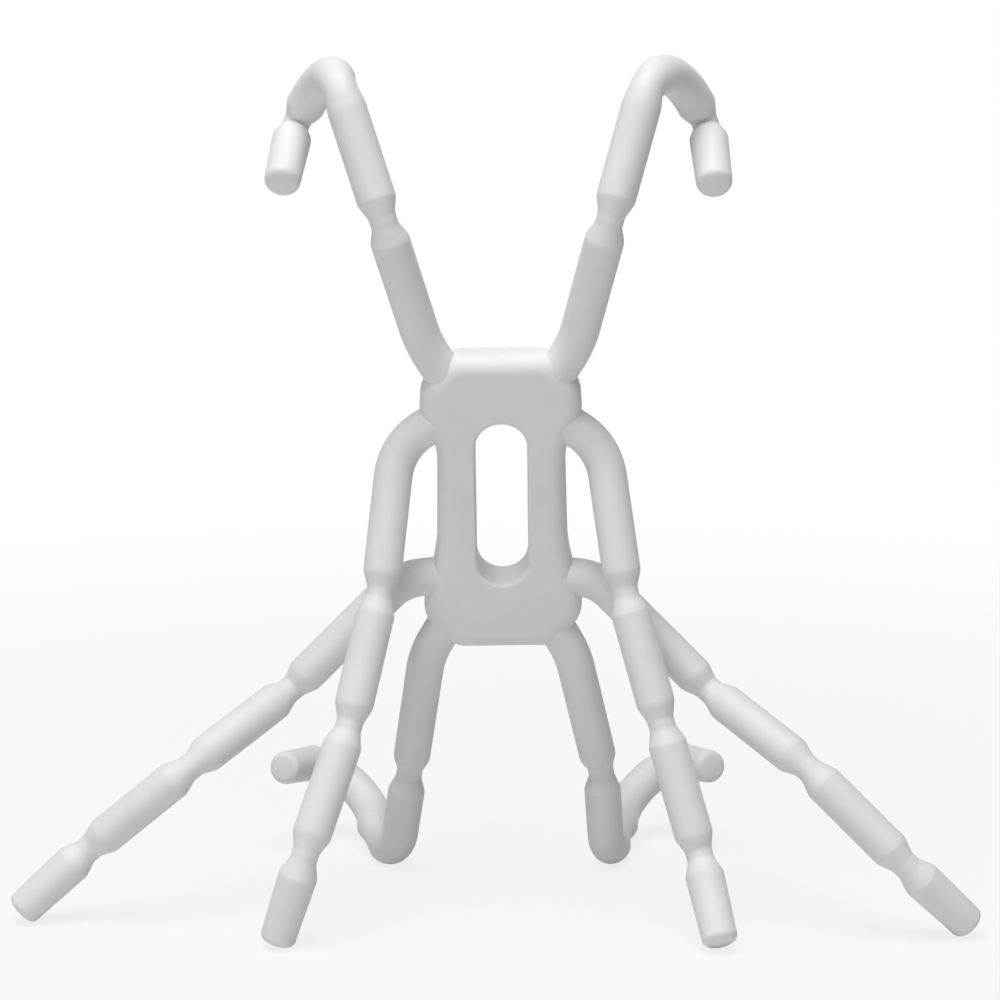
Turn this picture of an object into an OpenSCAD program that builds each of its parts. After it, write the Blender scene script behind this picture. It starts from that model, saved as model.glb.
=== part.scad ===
// Spider stand: a flat rubber body with a long slot and eight bendable legs.
// Each leg is a root grip, two middle grips and a tip, joined by three thin necks.

/* [Body] */
// Height of the body along its own length
body_height = 50; // [48:0.5:60]
// Thickness of the body from front to back
body_thick = 8; // [7.6:0.1:11]
// Width of the body across the shoulders
shoulder_width = 25; // [24:0.5:32]
// Width of the waist beside the slot
waist_width = 20; // [19:0.5:22]
// Width of the flat at the top and the bottom end
end_width = 15; // [13:0.5:18]
// Radius of the soft edge all round the body
edge_round = 2.8; // [1.5:0.1:3]
// Lean of the body back from upright, in degrees
lean = 12.5; // [8:0.5:16]

/* [Outline] */
// Height of the slanted corner that each hook leaves from
corner_drop = 5; // [4.5:0.1:6]
// Height of the straight side below each upper corner
upper_side = 5; // [4:0.1:6]
// Height of the slant from the upper side in to the waist
upper_slant = 4.6; // [4:0.1:6]
// Height of the straight side above each lower corner
lower_side = 3.6; // [3:0.1:5]
// Height of the slant from the lower side in to the waist
lower_slant = 8.2; // [7.5:0.1:10]
// How far each slanted corner starts in from the shoulder width
corner_step = 0.3; // [0.1:0.1:0.6]
// How much wider the waist is at its lower end, on each side
waist_flare = 0.4; // [0:0.1:0.8]
// How much wider the flat at the bottom is than at the top, on each side
bottom_flare = 0.3; // [0:0.1:0.8]

/* [Slot] */
// Width of the slot
slot_width = 8.1; // [6:0.1:9]
// Length of the slot from round end to round end
slot_length = 27.8; // [24:0.2:28.6]

/* [Legs] */
// Diameter of the grips and the tips
grip_d = 6; // [5.6:0.1:6.2]
// Diameter of the necks
neck_d = 4.2; // [3.4:0.1:4.6]
// Length of a neck
neck_length = 4; // [3.8:0.1:6]
// Length of the rounded shoulder at the end of a grip
grip_shoulder = 1.5; // [1.2:0.1:1.5]
// Length of the two middle grips
grip_length = 17; // [16.5:0.5:20]
// Length of the tip
tip_length = 12.5; // [10:0.5:16]
// Rounding of the outer end of the tip
tip_round = 0.9; // [0.5:0.1:1.5]
// Length of the root grip of an upper hook
upper_root = 26; // [22:0.5:30]
// Length of the root grip of a front leg
front_root = 28.5; // [25:0.5:33]
// Length of the root grip of a side leg
side_root = 28.5; // [25:0.5:33]
// Length of the root grip of a lower hook
lower_root = 28; // [25:0.5:31]

/* [Leg roots] */
// Depth of a root pivot below the outline of the body
pivot_depth = 1.5; // [1.2:0.1:2]
// Clearance of a root ball in its pocket
ball_clearance = 0.05; // [0.03:0.01:0.1]
// Straight length of a root grip before it bends
stub_length = 2.5; // [2:0.1:4]
// Length that a root grip bends over
root_bend = 6; // [5:0.5:8]
// Length that the root grip of a front leg bends over
front_bend = 11; // [9:0.5:14]
// Swing of a root to each side, in degrees
root_swing = 25; // [10:1:28]

/* [Core wires] */
// Diameter of the bendable wires in the body
wire_d = 1.4; // [1:0.1:2]
// Clearance of a wire in its channel
wire_clearance = 0.05; // [0.03:0.01:0.1]
// Wall between the slot and the wires that pass round it
wire_wall = 2.5; // [1.8:0.1:3]

/* [Place] */
// Sideways place of the body, so that the feet are centred
body_x = 1; // [-4:0.1:4]
// Place of the middle of the body from front to back
body_y = -5; // [-12:0.1:4]

/* [Hidden] */

rubber = [0.87, 0.88, 0.89];
steel = "silver";
soft_fn = 28;
$fn = 48;

grip_r = grip_d / 2;
neck_r = neck_d / 2;
pocket_r = grip_r + ball_clearance;
mouth_clearance = 0.6 * ball_clearance;
// Faint ring where a grip's curve begins and ends, which bridges the gap between its bars
swell = 0.03;
swell_length = 0.8;
bar_gap = 0.2;
// Clearance between the end of a neck and the grip that it turns
neck_clearance = 0.02;

// Outline of the right half of the body, as [sideways, upward] from its middle
top_z = body_height / 2;
top_in = [end_width / 2, top_z];
top_out = [shoulder_width / 2 - corner_step, top_z - corner_drop];
upper_low = [shoulder_width / 2, top_out[1] - upper_side];
waist_top = [waist_width / 2, upper_low[1] - upper_slant];
low_out = [shoulder_width / 2 - corner_step, corner_drop - top_z];
lower_high = [shoulder_width / 2, low_out[1] + lower_side];
waist_low = [waist_width / 2 + waist_flare, lower_high[1] + lower_slant];
low_in = [end_width / 2 + bottom_flare, -top_z];

function unit(v) = v / norm(v);
function middle(a, b) = (a + b) / 2;
// Outward normal of an edge of the right half, walked from the top down
function outward(a, b) = unit([a[1] - b[1], b[0] - a[0]]);
function pivot_on(a, b) = middle(a, b) - pivot_depth * outward(a, b);
function angle_of(v) = atan2(v[1], v[0]);

upper_pivot = pivot_on(top_in, top_out);
front_pivot = pivot_on(upper_low, waist_top);
side_pivot = pivot_on(waist_low, lower_high);
lower_pivot = pivot_on(low_out, low_in);
upper_exit = angle_of(outward(top_in, top_out));
front_exit = angle_of(outward(upper_low, waist_top));
side_exit = -6;
lower_exit = angle_of(outward(low_out, low_in));

// Each leg: side, pivot, exit angle above sideways, root length, root bend,
// directions as [heading from straight ahead round to the side, slope],
// where the curve of grip 2 starts and how long it is, as shares of the length
// between the grip's shoulders, then the same for grip 3, and how it is set down
upper_left = [-1, upper_pivot, upper_exit, upper_root, root_bend,
    [[25, 62], [120, 69], [120, 69], [168, 14], [134, -51], [6, -34]],
    [0.5, 0], [0, 1], "free"];
upper_right = [1, upper_pivot, upper_exit, upper_root, root_bend,
    [[20, 63], [125, 71], [125, 71], [156, 12], [133, -52], [2, -35]],
    [0.5, 0], [0, 1], "free"];
front_left = [-1, front_pivot, front_exit, front_root, front_bend,
    [[10, -72], [34, -67], [34, -67], [38, -60], [38, -60], [96, -72]],
    [0.5, 0], [0.5, 0], "foot"];
front_right = [1, front_pivot, front_exit, front_root, front_bend,
    [[19, -74], [48, -69], [48, -69], [50, -69], [50, -69], [17, -50]],
    [0.5, 0], [0.5, 0], "foot"];
side_left = [-1, side_pivot, side_exit, side_root, root_bend,
    [[82, -45], [52, -27], [52, -27], [93, -40], [93, -40], [80, -42]],
    [0.5, 0], [0.5, 0], "foot"];
side_right = [1, side_pivot, side_exit, side_root, root_bend,
    [[72, -43], [49, -26], [49, -26], [70, -42], [70, -42], [100, -44]],
    [0.5, 0], [0.5, 0], "foot"];
lower_left = [-1, lower_pivot, lower_exit, lower_root, root_bend,
    [[168, -70], [145, -75], [147, 6], [177, 16], [112, 33], [24, 9]],
    [0.57, 0.43], [0.07, 0.89], "heel"];
lower_right = [1, lower_pivot, lower_exit, lower_root, root_bend,
    [[157, -68], [159, -78], [161, 6], [175, 18], [112, 34], [23, 9]],
    [0.57, 0.43], [0.07, 0.89], "heel"];

legs = [
    upper_left, upper_right, front_left, front_right,
    side_left, side_right, lower_left, lower_right
];

// Direction in space of a heading and a slope on one side
function toward(side, turn) = [
    side * sin(turn[0]) * cos(turn[1]),
    -cos(turn[0]) * cos(turn[1]),
    sin(turn[1])
];
// From the body's own frame to the stand's frame
function turned(v) = [v[0], v[1] * cos(lean) - v[2] * sin(lean), v[1] * sin(lean) + v[2] * cos(lean)];
function bend_angle(a, b) = acos(max(-1, min(1, a * b)));
function bend_normal(a, b) = unit(b - (a * b) * a);
function bend_radius(a, b, length) = length / (bend_angle(a, b) * PI / 180);
function is_straight(a, b) = bend_angle(a, b) < 0.5;
// End of a stretch that starts at p along a and ends along b
function stretch_end(p, a, b, length) = is_straight(a, b)
    ? p + length * a
    : let (t = bend_angle(a, b))
      p + bend_radius(a, b, length) * (sin(t) * a + (1 - cos(t)) * bend_normal(a, b));

// Lengths and end directions of the thirteen stretches of a leg
function stretch_list(leg, drop) = let (
    s = leg[0],
    inner = grip_length - 2 * grip_shoulder,
    lead = [for (share = [leg[6], leg[7]]) grip_shoulder + share[0] * inner],
    curve = [for (share = [leg[6], leg[7]]) share[1] * inner],
    d = [for (turn = leg[5]) toward(s, [turn[0], turn[1] - drop])],
    out = turned([s * cos(leg[2]), 0, sin(leg[2])])
) [
    [stub_length, out],
    [leg[4], d[0]],
    [leg[3] - stub_length - leg[4], d[0]],
    [neck_length, d[1]],
    [lead[0], d[1]],
    [curve[0], d[2]],
    [grip_length - lead[0] - curve[0], d[2]],
    [neck_length, d[3]],
    [lead[1], d[3]],
    [curve[1], d[4]],
    [grip_length - lead[1] - curve[1], d[4]],
    [neck_length, d[5]],
    [tip_length, d[5]]
];
// The stretches laid end to end, each as [start, direction, end direction, length]
function laid(list, p, d, i = 0) = i == len(list) ? [] : concat(
    [[p, d, list[i][1], list[i][0]]],
    laid(list, stretch_end(p, d, list[i][1], list[i][0]), list[i][1], i + 1)
);
function pivot_of(leg, height) = [body_x, body_y, height]
    + turned([leg[0] * leg[1][0], 0, leg[1][1]]);
function chain(leg, height, drop) = let (list = stretch_list(leg, drop))
    laid(list, pivot_of(leg, height), list[0][1]);

// Lowest point of the rounded end of a tip
function tip_low(s) = let (d = s[2], p = s[0] + s[3] * d)
    p[2] - tip_round * d[2] - (grip_r - tip_round) * sqrt(1 - d[2] * d[2]) - tip_round;
// Lowest point of a grip that curves from downward to upward
function heel_low(s) = let (
    a = s[1],
    n = bend_normal(a, s[2]),
    t = atan2(-a[2], n[2])
) s[0][2] + bend_radius(a, s[2], s[3]) * (sin(t) * a[2] + (1 - cos(t)) * n[2]) - grip_r;
function lowest(leg, height, drop) = let (c = chain(leg, height, drop))
    leg[8] == "heel" ? heel_low(c[5]) : tip_low(c[12]);

// The stand's height comes from the left heel, and the other feet are turned down to the floor
body_z = -lowest(lower_left, 0, 0);
function settle(leg, low, high, n = 16) = let (m = (low + high) / 2)
    n == 0 ? m
    : lowest(leg, body_z, m) > 0 ? settle(leg, m, high, n - 1)
    : settle(leg, low, m, n - 1);
function drop_of(leg) = leg[8] == "free" ? 0 : settle(leg, -14, 14);
function leg_chain(leg) = chain(leg, body_z, drop_of(leg));

module in_body_frame() {
    translate([body_x, body_y, body_z]) rotate([lean, 0, 0]) children();
}

// Puts the children's z axis along d, from point p
module along(p, d) {
    z = unit(d);
    x = unit(cross(abs(z[2]) > 0.9 ? [0, 1, 0] : [0, 0, 1], z));
    y = cross(z, x);
    multmatrix([
        [x[0], y[0], z[0], p[0]],
        [x[1], y[1], z[1], p[1]],
        [x[2], y[2], z[2], p[2]]
    ]) children();
}

// Torus part of a stretch that bends, with its ends cut back
module bent_bar(s, r, trim, end_trim) {
    a = s[1];
    n = bend_normal(a, s[2]);
    big = bend_radius(a, s[2], s[3]);
    z = cross(-n, a);
    c = s[0] + big * n;
    cut = trim / big * 180 / PI;
    end_cut = end_trim / big * 180 / PI;
    multmatrix([
        [-n[0], a[0], z[0], c[0]],
        [-n[1], a[1], z[1], c[1]],
        [-n[2], a[2], z[2], c[2]]
    ]) rotate([0, 0, cut]) rotate_extrude(angle = bend_angle(a, s[2]) - cut - end_cut)
        translate([big, 0]) circle(r);
}

// Curve of a grip, with the ring at each end that joins it to the straights
module grip_bend(s) {
    bent_bar(s, grip_r, bar_gap, bar_gap);
    swell_ring(s[0], s[1]);
    swell_ring(end_of(s), s[2]);
}

module swell_ring(p, d) {
    along(p, d) cylinder(h = swell_length, r = grip_r + swell, center = true);
}

// Half section of a grip's end: the rounded shoulder, then the full diameter up to length
module shoulder_section(length) {
    drop = grip_r - neck_r;
    soft = (drop * drop + grip_shoulder * grip_shoulder) / (2 * drop);
    intersection() {
        union() {
            square([max(grip_r - soft, 0.1), length]);
            intersection() {
                translate([grip_r - soft, grip_shoulder]) circle(soft);
                square([grip_r, grip_shoulder]);
            }
            translate([0, grip_shoulder]) square([grip_r, max(length, grip_shoulder + 0.1) - grip_shoulder]);
        }
        square([grip_r, length]);
    }
}

module shouldered_bar(length) {
    rotate_extrude() shoulder_section(length);
}

function end_of(s) = stretch_end(s[0], s[1], s[2], s[3]);

module root_grip(leg) {
    c = leg_chain(leg);
    color(rubber) {
        along(c[0][0], c[0][1]) rotate_extrude() {
            intersection() {
                circle(grip_r);
                translate([0, -grip_r]) square([grip_r, 2 * grip_r]);
            }
            square([grip_r, c[0][3] - bar_gap]);
        }
        grip_bend(c[1]);
        along(end_of(c[2]), -c[2][2]) shouldered_bar(c[2][3] - bar_gap);
    }
}

module neck(leg, number) {
    s = leg_chain(leg)[4 * number - 1];
    color(rubber) if (is_straight(s[1], s[2]))
        along(s[0], s[1]) cylinder(h = s[3] - neck_clearance, r = neck_r);
    else bent_bar(s, neck_r, 0, neck_clearance);
}

module grip(leg, number) {
    c = leg_chain(leg);
    i = 4 * number - 4;
    color(rubber) if (c[i + 1][3] == 0) {
        along(c[i][0], c[i][1]) rotate_extrude() {
            shoulder_section(grip_length / 2);
            translate([0, grip_length]) mirror([0, 1]) shoulder_section(grip_length / 2);
        }
    } else {
        along(c[i][0], c[i][1]) shouldered_bar(c[i][3] - bar_gap);
        grip_bend(c[i + 1]);
        along(end_of(c[i + 2]), -c[i + 2][2]) shouldered_bar(c[i + 2][3] - bar_gap);
    }
}

module tip(leg) {
    s = leg_chain(leg)[12];
    color(rubber) along(s[0], s[1]) rotate_extrude() {
        shoulder_section(tip_length / 2);
        translate([0, tip_length / 2]) {
            square([grip_r - tip_round, tip_length / 2]);
            square([grip_r, tip_length / 2 - tip_round]);
            translate([grip_r - tip_round, tip_length / 2 - tip_round]) circle(tip_round);
        }
    }
}

function mirrored(half) = concat(
    half,
    [for (i = [len(half) - 1 : -1 : 0]) [-half[i][0], half[i][1]]]
);
right_half = [top_in, top_out, upper_low, waist_top, waist_low, lower_high, low_out, low_in];

// Flat body with a soft edge all round
module soft_plate() {
    minkowski() {
        rotate([90, 0, 0]) linear_extrude(body_thick - 2 * edge_round, center = true)
            offset(delta = -edge_round)
                polygon(mirrored(right_half));
        sphere(edge_round / cos(180 / soft_fn), $fn = soft_fn);
    }
}

// Round-ended slot right through the body
module slot_cut() {
    reach = slot_length / 2 - slot_width / 2;
    rotate([90, 0, 0]) {
        for (z = [-reach, reach])
            translate([0, z, 0]) cylinder(h = body_thick + 2, d = slot_width, center = true);
        cube([slot_width, 2 * reach, body_thick + 2], center = true);
    }
}

// Ball pocket with a flared mouth for the swing of the root
module root_pocket(leg) {
    line = grip_r + mouth_clearance;
    back = line * sin(root_swing);
    start = line * cos(root_swing);
    reach = 3 * grip_r;
    translate([leg[0] * leg[1][0], 0, leg[1][1]]) {
        sphere(pocket_r);
        intersection() {
            rotate([0, leg[0] * (90 - leg[2]), 0]) translate([0, 0, -back])
                cylinder(h = reach, r1 = start, r2 = start + reach * tan(root_swing));
            cube([6 * reach, 2 * line, 6 * reach], center = true);
        }
    }
}

// Straight wire from one pocket to its twin across the body
module straight_wire(pivot, r, gap) {
    half = pivot[0] - gap;
    translate([-half, 0, pivot[1]]) rotate([0, 90, 0]) cylinder(h = 2 * half, r = r);
}

// Wire bent in one arch over the end of the slot, from one pocket to its twin
module arched_wire(pivot, level, r, gap) {
    rise = abs(level - pivot[1]);
    up = level > 0 ? 1 : -1;
    big = (pivot[0] * pivot[0] + rise * rise) / (2 * rise);
    whole = 2 * asin(pivot[0] / big);
    cut = 2 * asin(gap / 2 / big);
    translate([0, 0, level - up * big]) rotate([90, 0, 0])
        rotate([0, 0, up * 90 - whole / 2 + cut])
            rotate_extrude(angle = whole - 2 * cut) translate([big, 0]) circle(r);
}
pass_level = slot_length / 2 + wire_wall + wire_d / 2;
wire_gap = pocket_r + wire_clearance;

module upper_core_wires() {
    color(steel) in_body_frame() {
        straight_wire(upper_pivot, wire_d / 2, wire_gap);
        arched_wire(front_pivot, pass_level, wire_d / 2, wire_gap);
    }
}

module lower_core_wires() {
    color(steel) in_body_frame() {
        straight_wire(lower_pivot, wire_d / 2, wire_gap);
        arched_wire(side_pivot, -pass_level, wire_d / 2, wire_gap);
    }
}

module body() {
    bore = wire_d / 2 + wire_clearance;
    color(rubber) in_body_frame() difference() {
        soft_plate();
        slot_cut();
        for (leg = legs) root_pocket(leg);
        straight_wire(upper_pivot, bore, 0);
        arched_wire(front_pivot, pass_level, bore, 0);
        straight_wire(lower_pivot, bore, 0);
        arched_wire(side_pivot, -pass_level, bore, 0);
    }
}

body();
upper_core_wires();
lower_core_wires();
root_grip(upper_left);  // upper_left_root
neck(upper_left, 1);  // upper_left_neck_1
grip(upper_left, 2);  // upper_left_grip_2
neck(upper_left, 2);  // upper_left_neck_2
grip(upper_left, 3);  // upper_left_grip_3
neck(upper_left, 3);  // upper_left_neck_3
tip(upper_left);  // upper_left_tip
root_grip(upper_right);  // upper_right_root
neck(upper_right, 1);  // upper_right_neck_1
grip(upper_right, 2);  // upper_right_grip_2
neck(upper_right, 2);  // upper_right_neck_2
grip(upper_right, 3);  // upper_right_grip_3
neck(upper_right, 3);  // upper_right_neck_3
tip(upper_right);  // upper_right_tip
root_grip(front_left);  // front_left_root
neck(front_left, 1);  // front_left_neck_1
grip(front_left, 2);  // front_left_grip_2
neck(front_left, 2);  // front_left_neck_2
grip(front_left, 3);  // front_left_grip_3
neck(front_left, 3);  // front_left_neck_3
tip(front_left);  // front_left_tip
root_grip(front_right);  // front_right_root
neck(front_right, 1);  // front_right_neck_1
grip(front_right, 2);  // front_right_grip_2
neck(front_right, 2);  // front_right_neck_2
grip(front_right, 3);  // front_right_grip_3
neck(front_right, 3);  // front_right_neck_3
tip(front_right);  // front_right_tip
root_grip(side_left);  // side_left_root
neck(side_left, 1);  // side_left_neck_1
grip(side_left, 2);  // side_left_grip_2
neck(side_left, 2);  // side_left_neck_2
grip(side_left, 3);  // side_left_grip_3
neck(side_left, 3);  // side_left_neck_3
tip(side_left);  // side_left_tip
root_grip(side_right);  // side_right_root
neck(side_right, 1);  // side_right_neck_1
grip(side_right, 2);  // side_right_grip_2
neck(side_right, 2);  // side_right_neck_2
grip(side_right, 3);  // side_right_grip_3
neck(side_right, 3);  // side_right_neck_3
tip(side_right);  // side_right_tip
root_grip(lower_left);  // lower_left_root
neck(lower_left, 1);  // lower_left_neck_1
grip(lower_left, 2);  // lower_left_grip_2
neck(lower_left, 2);  // lower_left_neck_2
grip(lower_left, 3);  // lower_left_grip_3
neck(lower_left, 3);  // lower_left_neck_3
tip(lower_left);  // lower_left_tip
root_grip(lower_right);  // lower_right_root
neck(lower_right, 1);  // lower_right_neck_1
grip(lower_right, 2);  // lower_right_grip_2
neck(lower_right, 2);  // lower_right_neck_2
grip(lower_right, 3);  // lower_right_grip_3
neck(lower_right, 3);  // lower_right_neck_3
tip(lower_right);  // lower_right_tip
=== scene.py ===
import math
import bmesh
import bpy
from mathutils import Matrix, Vector


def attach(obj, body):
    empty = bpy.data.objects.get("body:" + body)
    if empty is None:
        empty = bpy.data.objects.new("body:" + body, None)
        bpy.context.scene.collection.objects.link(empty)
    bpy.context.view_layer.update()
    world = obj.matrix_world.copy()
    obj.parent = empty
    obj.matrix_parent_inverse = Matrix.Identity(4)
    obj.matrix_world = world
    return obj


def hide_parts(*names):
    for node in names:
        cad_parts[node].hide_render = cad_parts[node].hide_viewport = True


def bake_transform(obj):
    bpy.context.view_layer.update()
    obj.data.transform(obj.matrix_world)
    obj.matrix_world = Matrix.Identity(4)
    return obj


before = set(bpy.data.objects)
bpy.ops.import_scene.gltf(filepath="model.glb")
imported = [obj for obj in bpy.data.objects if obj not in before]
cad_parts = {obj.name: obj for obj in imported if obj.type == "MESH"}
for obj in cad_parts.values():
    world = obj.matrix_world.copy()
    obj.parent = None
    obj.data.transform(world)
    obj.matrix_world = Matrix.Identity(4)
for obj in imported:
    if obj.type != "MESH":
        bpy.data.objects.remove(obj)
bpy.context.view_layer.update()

millimetre = 0.001  # pieces are shaped in millimetres and brought to metres at the end

# What a user would change in the body
bodyLook = {
    "height": 50.0,
    "thickness": 8.0,
    "shoulderWidth": 25.0,
    "waistWidth": 19.6,
    "endWidth": 15.0,
    "edgeRound": 2.8,
    "lean": 12.5,
    "cornerDrop": 5.0,
    "upperSide": 5.0,
    "upperSlant": 4.6,
    "lowerSide": 3.6,
    "lowerSlant": 8.2,
    "cornerStep": 0.3,
    "waistFlare": 0.4,
    "bottomFlare": 0.3,
    "cornerSoftness": 1.6,
    "waistSoftness": 3.0,
    "slotWidth": 8.1,
    "slotLength": 27.8,
    "slotEdge": 0.55,
    "sideways": 1.0,
    "forward": -5.0,
    "waistReach": 12.0,  # corners nearer the middle than this belong to the waist
    "cornerSegments": 6,
    "edgeSegments": 10,
    "slotEdgeSegments": 4,
    # how the skin differs from the solid: size, place and turn as they are seen
    "widen": 1.01,
    "shrink": 0.982,
    "slotShrink": 0.97,
    "slotUp": 0.35,
    "up": 0.15,
    "right": 0.3,
    "roll": 0.7,
}

# What a user would change in the legs
legLook = {
    "gripRadius": 3.0,
    "neckRadius": 2.1,
    "crestNeckRadius": 2.6,  # the second neck of the upper legs, stretched over the hook
    "neckLength": 4.0,
    "shoulder": 1.5,
    "neckCore": 0.7,        # half the length of a neck's thinnest stretch
    "shoulderShort": 0.2,
    "neckEase": (0.7, 0.3),  # straight and curved shares of a shoulder
    "gripLength": 17.0,
    "tipLength": 12.5,
    "tipEndRadius": 2.74,
    "tipRound": 0.9,     # rim of the solid tip, which the feet are set down by
    "endSoftness": 1.1,  # rim of the tip's skin
    "tipDome": 0.12,
    "endAngles": (12, 24, 36, 48, 60, 72, 82, 90),
    "domeSteps": ((0.72, 0.5), (0.4, 0.35), (0.12, 0.15)),  # each ring's size and rise
    "pivotDepth": 1.5,
    "stub": 2.5,
    "seam": 2.3,       # how far before a neck one piece ends and the next begins
    "rootInside": 1.6,  # how far inside the body a leg's skin starts
    "rootForward": 0.7,  # how far the roots stand towards the body's face
    "rootBlend": (1.2, 8.0),  # two distances along the root whose points are found, which nothing uses
    "afterBend": 0.5,         # how much of a ring's reach the end of a bend moves on by
    "ringSides": 44,
    "seamZone": 0.45,
    "seamStep": 0.15,
    "neckSlack": 0.2,
    "neckStep": 0.22,
    "gripStep": 0.55,
    "leastStep": 0.05,
}

# Each leg: side, where it leaves the body, root length and bend, the heading and slope of each
# part, where grips 2 and 3 start to curve and for how much of their length, and how it is set down
legPlans = {
    "upper_left": (-1, "upper", 26.0, 6.0,
                   [(25, 62), (120, 69), (120, 69), (168, 14), (134, -51), (6, -34)],
                   (0.5, 0), (0, 1), "free"),
    "upper_right": (1, "upper", 26.0, 6.0,
                    [(20, 63), (125, 71), (125, 71), (156, 12), (133, -52), (2, -35)],
                    (0.5, 0), (0, 1), "free"),
    "front_left": (-1, "front", 28.5, 11.0,
                   [(10, -72), (34, -67), (34, -67), (38, -60), (38, -60), (96, -72)],
                   (0.5, 0), (0.5, 0), "foot"),
    "front_right": (1, "front", 28.5, 11.0,
                    [(19, -74), (48, -69), (48, -69), (50, -69), (50, -69), (17, -50)],
                    (0.5, 0), (0.5, 0), "foot"),
    "side_left": (-1, "side", 28.5, 6.0,
                  [(82, -45), (52, -27), (52, -27), (93, -40), (93, -40), (80, -42)],
                  (0.5, 0), (0.5, 0), "foot"),
    "side_right": (1, "side", 28.5, 6.0,
                   [(72, -43), (49, -26), (49, -26), (70, -42), (70, -42), (100, -44)],
                   (0.5, 0), (0.5, 0), "foot"),
    "lower_left": (-1, "lower", 28.0, 6.0,
                   [(168, -70), (145, -75), (147, 6), (177, 16), (112, 33), (24, 9)],
                   (0.57, 0.43), (0.07, 0.89), "heel"),
    "lower_right": (1, "lower", 28.0, 6.0,
                    [(157, -68), (159, -78), (161, 6), (175, 18), (112, 34), (23, 9)],
                    (0.57, 0.43), (0.07, 0.89), "heel"),
}


# Outline of the body's right half, as (sideways, upward) from its middle
def bodyOutline():
    b = bodyLook
    top = b["height"] / 2
    topIn = Vector((b["endWidth"] / 2, top))
    topOut = Vector((b["shoulderWidth"] / 2 - b["cornerStep"], top - b["cornerDrop"]))
    upperLow = Vector((b["shoulderWidth"] / 2, topOut.y - b["upperSide"]))
    waistTop = Vector((b["waistWidth"] / 2, upperLow.y - b["upperSlant"]))
    lowOut = Vector((b["shoulderWidth"] / 2 - b["cornerStep"], b["cornerDrop"] - top))
    lowerHigh = Vector((b["shoulderWidth"] / 2, lowOut.y + b["lowerSide"]))
    waistLow = Vector((b["waistWidth"] / 2 + b["waistFlare"], lowerHigh.y + b["lowerSlant"]))
    lowIn = Vector((b["endWidth"] / 2 + b["bottomFlare"], -top))
    return [topIn, topOut, upperLow, waistTop, waistLow, lowerHigh, lowOut, lowIn]


def outward(a, b):
    return Vector((a.y - b.y, b.x - a.x)).normalized()


def angleOf(v):
    return math.degrees(math.atan2(v.y, v.x))


outline = bodyOutline()
exitEdges = {
    "upper": (outline[0], outline[1]),
    "front": (outline[2], outline[3]),
    "side": (outline[4], outline[5]),
    "lower": (outline[6], outline[7]),
}
exitAngles = {place: angleOf(outward(*edge)) for place, edge in exitEdges.items()}
exitAngles["side"] = -6.0
# How each root is seen to leave the body: its angle above sideways, and the length it bends over
seenRoots = {
    "upper": (58.0, 6.0),
    "front": (-33.0, 9.0),
    "side": (-6.0, 6.0),
    "lower": (-60.0, 6.0),
}
straightAngle = math.radians(0.5)  # stretches that turn less than this are straight
fittingRounds = 40
halvings = 16
steepestDrop = 14.0
heelSamples = 60
leanMatrix = Matrix.Rotation(math.radians(bodyLook["lean"]), 3, "X")


def pivotInBody(place):
    a, b = exitEdges[place]
    return (a + b) / 2 - legLook["pivotDepth"] * outward(a, b)


# Direction of a heading from straight ahead round to the side, and a slope
def toward(side, heading, slope):
    h, s = math.radians(heading), math.radians(slope)
    return Vector((side * math.sin(h) * math.cos(s), -math.cos(h) * math.cos(s), math.sin(s)))


def bendAngle(a, b):
    return math.acos(max(-1.0, min(1.0, a.dot(b))))


# Point and direction part of the way along a stretch that starts along a and ends along b
def alongStretch(start, a, b, length, distance):
    angle = bendAngle(a, b)
    if angle < straightAngle:
        return start + distance * a, b.copy()
    normal = (b - a.dot(b) * a).normalized()
    radius = length / angle
    t = angle * distance / length
    point = start + radius * (math.sin(t) * a + (1 - math.cos(t)) * normal)
    return point, math.cos(t) * a + math.sin(t) * normal


# The thirteen stretches of a leg, each as (start, direction, end direction, length)
def layLeg(plan, middle, drop):
    side, place, rootLength, rootBend, turns, curve2, curve3, rest = plan
    inner = legLook["gripLength"] - 2 * legLook["shoulder"]
    leads = [legLook["shoulder"] + share[0] * inner for share in (curve2, curve3)]
    curves = [share[1] * inner for share in (curve2, curve3)]
    ways = [toward(side, h, s - drop) for h, s in turns]
    exitTurn = math.radians(exitAngles[place])
    out = leanMatrix @ Vector((side * math.cos(exitTurn), 0, math.sin(exitTurn)))
    parts = [
        (legLook["stub"], out),
        (rootBend, ways[0]),
        (rootLength - legLook["stub"] - rootBend, ways[0]),
    ]
    for lead, bent, first in ((leads[0], curves[0], 1), (leads[1], curves[1], 3)):
        parts += [
            (legLook["neckLength"], ways[first]),
            (lead, ways[first]),
            (bent, ways[first + 1]),
            (legLook["gripLength"] - lead - bent, ways[first + 1]),
        ]
    parts += [(legLook["neckLength"], ways[5]), (legLook["tipLength"], ways[5])]
    pivot = pivotInBody(place)
    point = middle + leanMatrix @ Vector((side * pivot.x, 0, pivot.y))
    direction, laid = out, []
    for length, nextWay in parts:
        laid.append((point, direction, nextWay, length))
        if length > 0:
            point, _way = alongStretch(point, direction, nextWay, length, length)
        direction = nextWay
    return laid


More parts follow.
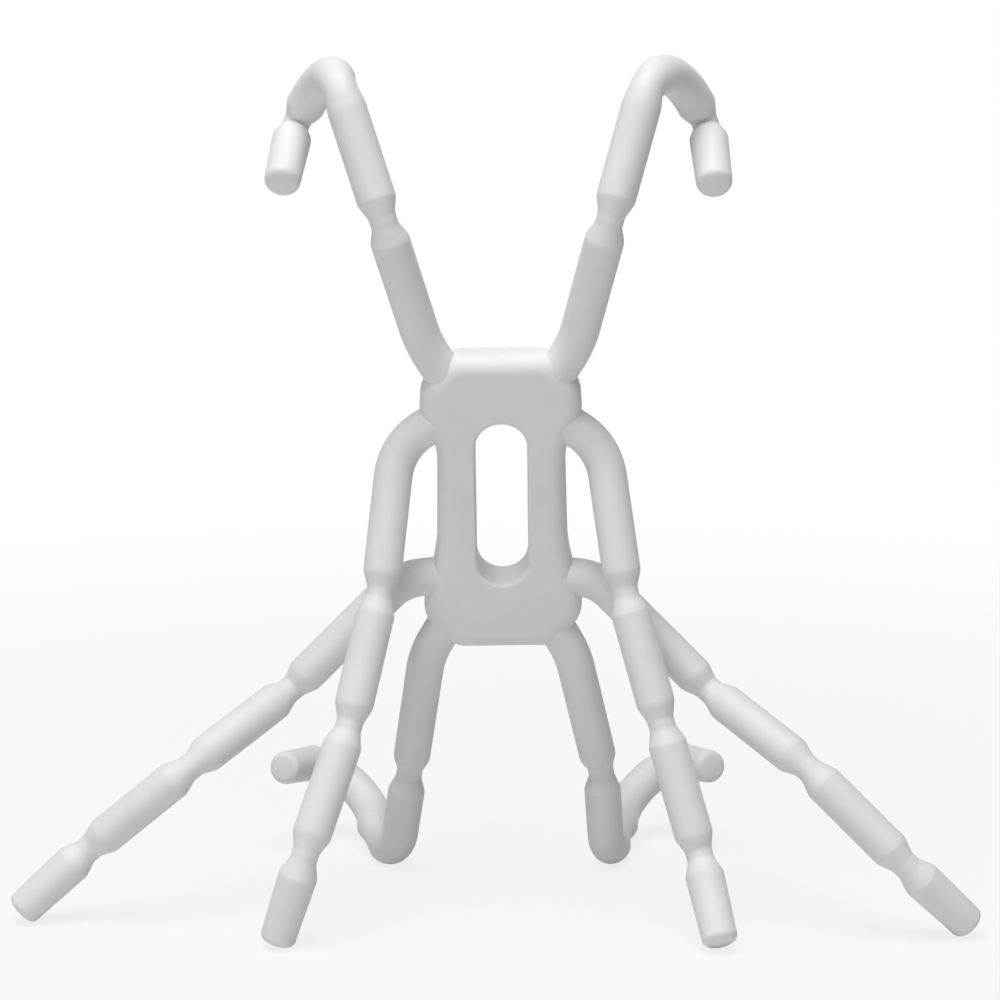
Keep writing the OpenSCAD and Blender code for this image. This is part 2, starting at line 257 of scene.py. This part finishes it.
# The first four stretches again, bent as they are seen to bend, up to the same second grip
def softenRoot(plan, laid):
    side, place = plan[0], plan[1]
    angle, bend = seenRoots[place]
    turn = math.radians(angle)
    out = leanMatrix @ Vector((side * math.cos(turn), 0, math.sin(turn)))
    start = laid[0][0] - leanMatrix @ Vector((0, legLook["rootForward"], 0))
    stub, neck = legLook["stub"], legLook["neckLength"]
    nextWay, target = laid[3][2], laid[4][0]
    straight = laid[2][2] * laid[2][3]
    for _round in range(fittingRounds):
        way = straight.normalized()
        bendStart = start + stub * out
        bendEnd, _way = alongStretch(bendStart, out, way, bend, bend)
        neckStart = bendEnd + straight
        neckEnd, _way = alongStretch(neckStart, way, nextWay, neck, neck)
        straight = straight + target - neckEnd
    return [
        (start, out, out, stub),
        (bendStart, out, way, bend),
        (bendEnd, way, way, straight.length),
        (neckStart, way, nextWay, neck),
    ] + laid[4:]


def lowestPoint(plan, middle, drop):
    laid = layLeg(plan, middle, drop)
    grip, round_ = legLook["gripRadius"], legLook["tipRound"]
    if plan[7] == "heel":
        start, a, b, length = laid[5]
        heights = []
        for i in range(heelSamples + 1):
            heights.append(alongStretch(start, a, b, length, length * i / heelSamples)[0].z)
        return min(heights) - grip
    start, _way, d, length = laid[12]
    end = start + length * d
    return end.z - round_ * d.z - (grip - round_) * math.sqrt(1 - d.z * d.z) - round_


# The height comes from the left heel, and the other feet are turned down to the floor
bodyMiddle = Vector((bodyLook["sideways"], bodyLook["forward"], 0))
bodyMiddle.z = -lowestPoint(legPlans["lower_left"], bodyMiddle, 0)


def dropOf(plan):
    if plan[7] == "free":
        return 0.0
    low, high = -steepestDrop, steepestDrop
    for _halving in range(halvings):
        half = (low + high) / 2
        if lowestPoint(plan, bodyMiddle, half) > 0:
            low = half
        else:
            high = half
    return (low + high) / 2


print("legs laid out, body middle at", round(bodyMiddle.z, 2), "mm")


rubberLook = {
    "colour": (0.800, 0.798, 0.788),
    "shade": (0.765, 0.763, 0.754),
    "dust": (0.70, 0.70, 0.695),
    "specular": 0.42,
    "sheen": (0.10, 0.45),       # weight and roughness
    "roughness": (0.50, 0.62),
    "driftPerMetre": 95.0,
    "driftRange": (0.30, 0.58),  # noise values that give the shade and the full colour
    "specksPerMetre": 1500.0,
    "speckRange": (0.62, 0.80),
    "speckStrength": 0.22,
    "handledPerMetre": 240.0,
    "handledRange": (0.35, 0.65),
    "grainPerMetre": 2600.0,
    "grainDepth": 0.00002,
    "wavePerMetre": 130.0,
    "waveDepth": 0.00006,
}
wireLook = {
    "colour": (0.60, 0.60, 0.61),
    "drawn": (0.50, 0.50, 0.51),
    "roughness": (0.25, 0.42),
    "linesPerMetre": 4000.0,
    "lineStretch": (0.02, 1.0, 1.0),
}


def addNode(tree, kind, place, **values):
    node = tree.nodes.new(kind)
    node.location = place
    for key, value in values.items():
        if key in node.inputs:
            node.inputs[key].default_value = value
        else:
            setattr(node, key, value)
    return node


def makeRubber():
    material = bpy.data.materials.new("softRubber")
    material.use_nodes = True
    tree = material.node_tree
    link = tree.links.new
    shader = tree.nodes["Principled BSDF"]
    shader.inputs["Specular IOR Level"].default_value = rubberLook["specular"]
    shader.inputs["Sheen Weight"].default_value = rubberLook["sheen"][0]
    shader.inputs["Sheen Roughness"].default_value = rubberLook["sheen"][1]
    coords = addNode(tree, "ShaderNodeTexCoord", (-1300, 0))
    # slow drift of colour, as in filled rubber
    drift = addNode(tree, "ShaderNodeTexNoise", (-1050, 250),
                    Scale=rubberLook["driftPerMetre"], Detail=5.0, Roughness=0.6)
    tones = addNode(tree, "ShaderNodeValToRGB", (-800, 250))
    tones.color_ramp.elements[0].position = rubberLook["driftRange"][0]
    tones.color_ramp.elements[0].color = (*rubberLook["shade"], 1)
    tones.color_ramp.elements[1].position = rubberLook["driftRange"][1]
    tones.color_ramp.elements[1].color = (*rubberLook["colour"], 1)
    # fine specks of handling dust
    specks = addNode(tree, "ShaderNodeTexNoise", (-1050, 500),
                     Scale=rubberLook["specksPerMetre"], Detail=2.0, Roughness=0.5)
    speckRange = addNode(tree, "ShaderNodeMapRange", (-800, 500))
    speckRange.inputs["From Min"].default_value = rubberLook["speckRange"][0]
    speckRange.inputs["From Max"].default_value = rubberLook["speckRange"][1]
    speckRange.inputs["To Max"].default_value = rubberLook["speckStrength"]
    dusty = addNode(tree, "ShaderNodeMix", (-500, 300), data_type="RGBA")
    dusty.inputs["B"].default_value = (*rubberLook["dust"], 1)
    link(coords.outputs["Object"], drift.inputs["Vector"])
    link(coords.outputs["Object"], specks.inputs["Vector"])
    link(drift.outputs["Fac"], tones.inputs["Fac"])
    link(specks.outputs["Fac"], speckRange.inputs["Value"])
    link(speckRange.outputs["Result"], dusty.inputs["Factor"])
    link(tones.outputs["Color"], dusty.inputs["A"])
    link(dusty.outputs["Result"], shader.inputs["Base Color"])
    # handled places are a little smoother
    handled = addNode(tree, "ShaderNodeTexNoise", (-1050, -50),
                      Scale=rubberLook["handledPerMetre"], Detail=4.0, Roughness=0.55)
    handledRange = addNode(tree, "ShaderNodeMapRange", (-800, -50))
    handledRange.inputs["From Min"].default_value = rubberLook["handledRange"][0]
    handledRange.inputs["From Max"].default_value = rubberLook["handledRange"][1]
    handledRange.inputs["To Min"].default_value = rubberLook["roughness"][0]
    handledRange.inputs["To Max"].default_value = rubberLook["roughness"][1]
    link(coords.outputs["Object"], handled.inputs["Vector"])
    link(handled.outputs["Fac"], handledRange.inputs["Value"])
    link(handledRange.outputs["Result"], shader.inputs["Roughness"])
    # moulded grain over a faint unevenness
    wave = addNode(tree, "ShaderNodeTexNoise", (-1050, -350),
                   Scale=rubberLook["wavePerMetre"], Detail=1.0)
    grain = addNode(tree, "ShaderNodeTexNoise", (-1050, -600),
                    Scale=rubberLook["grainPerMetre"], Detail=3.0, Roughness=0.65)
    waveBump = addNode(tree, "ShaderNodeBump", (-700, -350),
                       Strength=0.5, Distance=rubberLook["waveDepth"])
    grainBump = addNode(tree, "ShaderNodeBump", (-450, -450),
                        Strength=0.6, Distance=rubberLook["grainDepth"])
    link(coords.outputs["Object"], wave.inputs["Vector"])
    link(coords.outputs["Object"], grain.inputs["Vector"])
    link(wave.outputs["Fac"], waveBump.inputs["Height"])
    link(grain.outputs["Fac"], grainBump.inputs["Height"])
    link(waveBump.outputs["Normal"], grainBump.inputs["Normal"])
    link(grainBump.outputs["Normal"], shader.inputs["Normal"])
    return material


def makeWire():
    material = bpy.data.materials.new("drawnWire")
    material.use_nodes = True
    tree = material.node_tree
    link = tree.links.new
    shader = tree.nodes["Principled BSDF"]
    shader.inputs["Metallic"].default_value = 1.0
    coords = addNode(tree, "ShaderNodeTexCoord", (-1100, 0))
    stretched = addNode(tree, "ShaderNodeMapping", (-900, 0), Scale=wireLook["lineStretch"])
    lines = addNode(tree, "ShaderNodeTexNoise", (-700, 0),
                    Scale=wireLook["linesPerMetre"], Detail=2.0)
    tones = addNode(tree, "ShaderNodeValToRGB", (-450, 150))
    tones.color_ramp.elements[0].color = (*wireLook["drawn"], 1)
    tones.color_ramp.elements[1].color = (*wireLook["colour"], 1)
    dullness = addNode(tree, "ShaderNodeMapRange", (-450, -100))
    dullness.inputs["To Min"].default_value = wireLook["roughness"][0]
    dullness.inputs["To Max"].default_value = wireLook["roughness"][1]
    link(coords.outputs["Object"], stretched.inputs["Vector"])
    link(stretched.outputs["Vector"], lines.inputs["Vector"])
    link(lines.outputs["Fac"], tones.inputs["Fac"])
    link(lines.outputs["Fac"], dullness.inputs["Value"])
    link(tones.outputs["Color"], shader.inputs["Base Color"])
    link(dullness.outputs["Result"], shader.inputs["Roughness"])
    return material


rubber = makeRubber()
wire = makeWire()
for name in ("upper_core_wires", "lower_core_wires"):
    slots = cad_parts[name].data.materials
    slots.clear()
    slots.append(wire)
print("materials made")


weldDistance = 1e-4


# A piece from a finished shape in millimetres
def newPiece(bm, name):
    bmesh.ops.remove_doubles(bm, verts=bm.verts, dist=weldDistance)
    bmesh.ops.recalc_face_normals(bm, faces=bm.faces)
    bmesh.ops.scale(bm, vec=(millimetre,) * 3, verts=bm.verts)
    for face in bm.faces:
        face.smooth = True
    mesh = bpy.data.meshes.new(name)
    bm.to_mesh(mesh)
    bm.free()
    mesh.materials.append(rubber)
    piece = bpy.data.objects.new(name, mesh)
    bpy.context.scene.collection.objects.link(piece)
    return piece


def makeBody():
    b = bodyLook
    bm = bmesh.new()
    corners = list(outline) + [Vector((-p.x, p.y)) for p in reversed(outline)]
    bm.faces.new([bm.verts.new((c.x, -b["thickness"] / 2, c.y)) for c in corners])
    waist = [v for v in bm.verts if abs(v.co.z) < b["waistReach"]]
    corner = [v for v in bm.verts if abs(v.co.z) >= b["waistReach"]]
    for verts, softness in ((waist, b["waistSoftness"]), (corner, b["cornerSoftness"])):
        bmesh.ops.bevel(bm, geom=verts, offset=softness, affect="VERTICES",
                        segments=b["cornerSegments"], profile=0.5, material=-1)
    bmesh.ops.delete(bm, geom=bm.faces[:], context="FACES_ONLY")
    bmesh.ops.scale(bm, vec=(b["widen"], 1, b["shrink"]), verts=bm.verts)
    outerEdges = bm.edges[:]
    # the slot is a circle whose halves move apart
    slotRadius = b["slotWidth"] / 2
    reach = b["slotLength"] / 2 - slotRadius
    upright = Matrix.Rotation(math.radians(90), 4, "X")
    turn = Matrix.Translation((0, -b["thickness"] / 2, 0)) @ upright
    ring = bmesh.ops.create_circle(bm, segments=len(outerEdges), radius=slotRadius,
                                   matrix=turn)["verts"]
    for sign in (-1, 1):
        half = [v for v in ring if v.co.z * sign > 1e-6]
        bmesh.ops.translate(bm, vec=(0, 0, sign * reach), verts=half)
    bmesh.ops.scale(bm, vec=(1, 1, b["slotShrink"]), verts=ring)
    bmesh.ops.translate(bm, vec=(0, 0, b["slotUp"]), verts=ring)
    slotEdges = [e for e in bm.edges if e.verts[0] in ring and e.verts[1] in ring]
    bmesh.ops.bridge_loops(bm, edges=outerEdges + slotEdges)
    # through the thickness
    front = bm.faces[:]
    back = bmesh.ops.extrude_face_region(bm, geom=front)
    moved = [g for g in back["geom"] if isinstance(g, bmesh.types.BMVert)]
    bmesh.ops.translate(bm, vec=(0, b["thickness"], 0), verts=moved)
    bmesh.ops.remove_doubles(bm, verts=bm.verts, dist=weldDistance)
    bmesh.ops.recalc_face_normals(bm, faces=bm.faces)
    slotHalfLength = b["slotLength"] / 2 + b["slotUp"]

    # the rims of the slot, or those of the outline
    def rimEdges(isSlot):
        found = []
        for e in bm.edges:
            flat = abs(e.verts[0].co.y - e.verts[1].co.y) < weldDistance
            if not flat or len(e.link_faces) != 2:
                continue
            if abs(e.link_faces[0].normal.dot(e.link_faces[1].normal)) > 0.5:
                continue
            nearSlot = all(abs(v.co.x) < slotRadius + 0.1 and abs(v.co.z) < slotHalfLength + 0.1
                           for v in e.verts)
            if nearSlot == isSlot:
                found.append(e)
        return found

    bmesh.ops.bevel(bm, geom=rimEdges(False), offset=b["edgeRound"], affect="EDGES",
                    segments=b["edgeSegments"], profile=0.5, material=-1)
    bmesh.ops.bevel(bm, geom=rimEdges(True), offset=b["slotEdge"], affect="EDGES",
                    segments=b["slotEdgeSegments"], profile=0.5, material=-1)
    rollMatrix = Matrix.Rotation(math.radians(-b["roll"]), 3, "Y")
    bmesh.ops.rotate(bm, cent=(0, 0, 0), matrix=leanMatrix @ rollMatrix, verts=bm.verts)
    bmesh.ops.translate(bm, vec=bodyMiddle + Vector((b["right"], 0, b["up"])), verts=bm.verts)
    piece = newPiece(bm, "body_skin")
    steady = piece.modifiers.new("flatFaces", "WEIGHTED_NORMAL")
    steady.weight = 70
    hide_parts("body")
    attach(piece, "body")


makeBody()
print("body made")


# Radius beside a neck, from the distance to the neck's middle
def neckRadiusAt(distance, narrow):
    inner = legLook["neckCore"]
    outer = legLook["neckLength"] / 2 + legLook["shoulder"] - legLook["shoulderShort"]
    share = max(0.0, min(1.0, (distance - inner) / (outer - inner)))
    straight, curved = legLook["neckEase"]
    ease = straight * share + curved * share * share * (3 - 2 * share)
    return narrow + (legLook["gripRadius"] - narrow) * ease


# The middle line of a leg's skin as a function of distance, its necks' middles and its length
def legCourse(plan):
    laid = softenRoot(plan, layLeg(plan, bodyMiddle, dropOf(plan)))
    starts = [0.0]
    for part in laid:
        starts.append(starts[-1] + part[3])

    # the first stretch also runs backwards, into the body
    def at(distance):
        for part, begin, end in zip(laid, starts, starts[1:]):
            if part[3] > 0 and distance <= end + 1e-9:
                inPart = distance - begin
                return alongStretch(*part, max(0.0, inPart) if begin > 0 else inPart)
        return alongStretch(*laid[-1], distance - starts[-2])

    necks = [(starts[i] + starts[i + 1]) / 2 for i in (3, 7, 11)]
    return at, necks, starts[-1]


def radiusAt(distance, necks, total, crest):
    grip, tipEnd, soft = legLook["gripRadius"], legLook["tipEndRadius"], legLook["endSoftness"]
    narrow = [legLook["neckRadius"]] * 3
    if crest:
        narrow[1] = legLook["crestNeckRadius"]
    radius = min([grip] + [neckRadiusAt(abs(distance - n), r) for n, r in zip(necks, narrow)])
    tipStart = necks[2] + legLook["neckLength"] / 2 + legLook["shoulder"]
    if distance > tipStart:
        radius = grip + (tipEnd - grip) * (distance - tipStart) / (total - tipStart)
    if distance > total - soft:
        rise = min(1.0, (distance - total + soft) / soft)
        radius -= soft * (1 - math.sqrt(max(0.0, 1 - rise * rise)))
    return radius


# Distances of the rings of one piece: close together in necks, at seams and round the tip's end
def ringPlaces(begin, end, necks, total):
    soft = legLook["endSoftness"]
    lastRound = end if end < total else total - soft
    places, here = [begin], begin
    neckReach = legLook["neckLength"] / 2 + legLook["shoulder"] + legLook["neckSlack"]
    while here < lastRound - 1e-6:
        step = legLook["gripStep"]
        if min(abs(here - n) for n in necks) < neckReach:
            step = legLook["neckStep"]
        if min(here - begin, lastRound - here) < legLook["seamZone"]:
            step = legLook["seamStep"]
        here = min(here + step, lastRound)
        if lastRound - here < legLook["leastStep"]:
            here = lastRound
        places.append(here)
    if end >= total:
        for a in legLook["endAngles"]:
            places.append(total - soft + soft * math.sin(math.radians(a)))
    return places


# A new ring from the last one, still in the same place
def nextRing(bm, edges):
    made = bmesh.ops.extrude_edge_only(bm, edges=edges)["geom"]
    verts = [g for g in made if isinstance(g, bmesh.types.BMVert)]
    fresh = set(verts)
    return verts, [g for g in made if isinstance(g, bmesh.types.BMEdge) and set(g.verts) <= fresh]


# Turns and sizes a ring of radius one, and brings it to its place
def ringMatrix(point, way, across, radius):
    up = way.cross(across)
    m = Matrix((across * radius, up * radius, way)).transposed().to_4x4()
    m.translation = point
    return m


# Skin of a leg between two distances, closed by a cap at each end
def makeTube(name, plan, begin, end):
    at, necks, total = legCourse(plan)
    crest = plan[1] == "upper"
    places = ringPlaces(begin, end, necks, total)
    bm = bmesh.new()
    point, way = at(places[0])
    across = way.orthogonal().normalized()
    placed = ringMatrix(point, way, across, radiusAt(places[0], necks, total, crest))
    bmesh.ops.create_circle(bm, segments=legLook["ringSides"], radius=1.0, matrix=placed)
    edges = bm.edges[:]
    bmesh.ops.edgeloop_fill(bm, edges=edges)
    firstCap = edges[:]
    for distance in places[1:]:
        verts, edges = nextRing(bm, edges)
        point, nextWay = at(distance)
        across = (way.rotation_difference(nextWay) @ across).normalized()
        across = (across - nextWay * across.dot(nextWay)).normalized()
        way = nextWay
        matrix = ringMatrix(point, way, across, radiusAt(distance, necks, total, crest))
        bmesh.ops.transform(bm, matrix=matrix @ placed.inverted(), verts=verts)
        placed = matrix
    if end >= total:
        # slightly domed end face
        for size, rise in legLook["domeSteps"]:
            verts, edges = nextRing(bm, edges)
            shift = Matrix.Translation(way * legLook["tipDome"] * rise)
            inPlace = placed @ Matrix.Diagonal((size, size, 1, 1)) @ placed.inverted()
            bmesh.ops.transform(bm, matrix=shift @ inPlace, verts=verts)
            placed = shift @ placed
    bmesh.ops.edgeloop_fill(bm, edges=edges)
    # caps at seams have sharp rims, so that the skin beside them is shaded as one surface
    for edge in firstCap + ([] if end >= total else edges):
        edge.smooth = False
    return newPiece(bm, name)


# How far a piece's first ring reaches along the bend, so that the bend starts past it
def bendSpan(at, first, neckStart, neckEnd):
    p0, _way = at(neckStart)
    p1, _way = at(neckEnd)
    chord = (p1 - p0).normalized()
    ringPoint, ringWay = at(first)
    tilt = math.sqrt(max(0.0, 1 - ringWay.dot(chord) ** 2))
    reach = (ringPoint - p0).dot(chord) + legLook["gripRadius"] * tilt
    start = p0 + chord * max(0.0, reach)
    end = p1 + chord * max(0.0, reach) * legLook["afterBend"]
    return start * millimetre, end * millimetre


# Four skins a leg, one from inside the body to before the first neck and one from each seam on, in
# place of the solid parts they cover
def makeLeg(leg, plan):
    at, necks, total = legCourse(plan)
    half, seam = legLook["neckLength"] / 2, legLook["seam"]
    cuts = [n - half - seam for n in necks]
    root = makeTube(leg + "_root_skin", plan, -legLook["rootInside"], cuts[0])
    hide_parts(leg + "_root")
    blendStart, blendEnd = [at(distance)[0] * millimetre for distance in legLook["rootBlend"]]
    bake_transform(root)
    names = ["root", "grip_2", "grip_3", "tip"]
    for i in range(3):
        end = cuts[i + 1] if i < 2 else total
        piece = makeTube(leg + "_" + names[i + 1] + "_skin", plan, cuts[i], end)
        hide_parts(leg + "_neck_" + str(i + 1), leg + "_" + names[i + 1])
        start, stop = bendSpan(at, cuts[i], necks[i] - half, necks[i] + half)
        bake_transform(piece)


for leg, plan in legPlans.items():
    makeLeg(leg, plan)
print("legs made")


stageLook = {
    "floorHalf": 3.0,
    "floorColour": (0.74, 0.74, 0.74),
    "roughness": 0.6,
    "specular": 0.1,
    "fade": (0.10, 0.36),  # metres from the middle between which the floor turns into the backdrop
    "glow": 0.80,          # share of white in the floor near the part
}


def makeFloor():
    bm = bmesh.new()
    bmesh.ops.create_grid(bm, x_segments=2, y_segments=2, size=stageLook["floorHalf"])
    mesh = bpy.data.meshes.new("studioFloor")
    bm.to_mesh(mesh)
    bm.free()
    floor = bpy.data.objects.new("studioFloor", mesh)
    bpy.context.scene.collection.objects.link(floor)
    material = bpy.data.materials.new("paleFloor")
    material.use_nodes = True
    tree = material.node_tree
    link = tree.links.new
    shader = tree.nodes["Principled BSDF"]
    shader.inputs["Base Color"].default_value = (*stageLook["floorColour"], 1)
    shader.inputs["Roughness"].default_value = stageLook["roughness"]
    shader.inputs["Specular IOR Level"].default_value = stageLook["specular"]
    output = tree.nodes["Material Output"]
    coords = addNode(tree, "ShaderNodeTexCoord", (-900, -200))
    length = addNode(tree, "ShaderNodeVectorMath", (-700, -200), operation="LENGTH")
    fade = addNode(tree, "ShaderNodeMapRange", (-500, -200), interpolation_type="SMOOTHSTEP")
    fade.inputs["From Min"].default_value = stageLook["fade"][0]
    fade.inputs["From Max"].default_value = stageLook["fade"][1]
    fade.inputs["To Min"].default_value = stageLook["glow"]
    path = addNode(tree, "ShaderNodeLightPath", (-900, -500))
    seen = addNode(tree, "ShaderNodeMath", (-600, -450), operation="MAXIMUM")
    seenToo = addNode(tree, "ShaderNodeMath", (-450, -500), operation="MAXIMUM")
    share = addNode(tree, "ShaderNodeMath", (-250, -350), operation="MULTIPLY")
    white = addNode(tree, "ShaderNodeEmission", (-250, -600))
    mix = addNode(tree, "ShaderNodeMixShader", (100, 0))
    link(coords.outputs["Object"], length.inputs[0])
    link(length.outputs["Value"], fade.inputs["Value"])
    link(path.outputs["Is Camera Ray"], seen.inputs[0])
    link(path.outputs["Is Glossy Ray"], seen.inputs[1])
    link(seen.outputs[0], seenToo.inputs[0])
    link(path.outputs["Is Transmission Ray"], seenToo.inputs[1])
    link(fade.outputs["Result"], share.inputs[0])
    link(seenToo.outputs[0], share.inputs[1])
    link(share.outputs[0], mix.inputs["Fac"])
    link(shader.outputs["BSDF"], mix.inputs[1])
    link(white.outputs["Emission"], mix.inputs[2])
    link(mix.outputs["Shader"], output.inputs["Surface"])
    mesh.materials.append(material)


# Lamps are given by watts, size in metres and place
lightLook = {
    "world": 0.07,
    "key": (10.6, 0.7, (-0.08, -0.26, 1.08)),
    "fill": (2.1, 0.6, (-0.35, -0.95, 0.35)),
    "target": (0, 0, 0.05),
}


def makeLights():
    world = bpy.data.worlds.new("studio")
    bpy.context.scene.world = world
    world.use_nodes = True
    tree = world.node_tree
    link = tree.links.new
    dim = tree.nodes["Background"]
    dim.inputs["Color"].default_value = (1, 1, 1, 1)
    dim.inputs["Strength"].default_value = lightLook["world"]
    white = addNode(tree, "ShaderNodeBackground", (0, -200), Color=(1, 1, 1, 1), Strength=1.0)
    path = addNode(tree, "ShaderNodeLightPath", (-500, 200))
    seen = addNode(tree, "ShaderNodeMath", (-250, 200), operation="MAXIMUM")
    seenToo = addNode(tree, "ShaderNodeMath", (-50, 200), operation="MAXIMUM")
    mix = addNode(tree, "ShaderNodeMixShader", (250, 0))
    link(path.outputs["Is Camera Ray"], seen.inputs[0])
    link(path.outputs["Is Glossy Ray"], seen.inputs[1])
    link(seen.outputs[0], seenToo.inputs[0])
    link(path.outputs["Is Transmission Ray"], seenToo.inputs[1])
    link(seenToo.outputs[0], mix.inputs["Fac"])
    link(dim.outputs["Background"], mix.inputs[1])
    link(white.outputs["Background"], mix.inputs[2])
    link(mix.outputs["Shader"], tree.nodes["World Output"].inputs["Surface"])
    target = Vector(lightLook["target"])
    for name in ("key", "fill"):
        power, size, place = lightLook[name]
        lamp = bpy.data.lights.new(name + "Softbox", "AREA")
        lamp.energy = power
        lamp.shape = "SQUARE"
        lamp.size = size
        holder = bpy.data.objects.new(name + "Softbox", lamp)
        holder.location = place
        holder.rotation_euler = (target - Vector(place)).to_track_quat("-Z", "Y").to_euler()
        bpy.context.scene.collection.objects.link(holder)


cameraLook = {
    "place": (0.001, -0.45571, 0.1445),
    "tilt": 80.0,
    "lens": 105.08,
    "sensor": 36.0,
    "nearest": 0.01,
}


def makeCamera():
    lens = bpy.data.cameras.new("photoView")
    lens.lens = cameraLook["lens"]
    lens.sensor_width = cameraLook["sensor"]
    lens.clip_start = cameraLook["nearest"]
    camera = bpy.data.objects.new("photoView", lens)
    camera.location = cameraLook["place"]
    camera.rotation_euler = (math.radians(cameraLook["tilt"]), 0, 0)
    bpy.context.scene.collection.objects.link(camera)
    bpy.context.scene.camera = camera


makeFloor()
makeLights()
makeCamera()
bpy.context.scene.view_settings.view_transform = "Standard"
print("floor, lights and camera made")
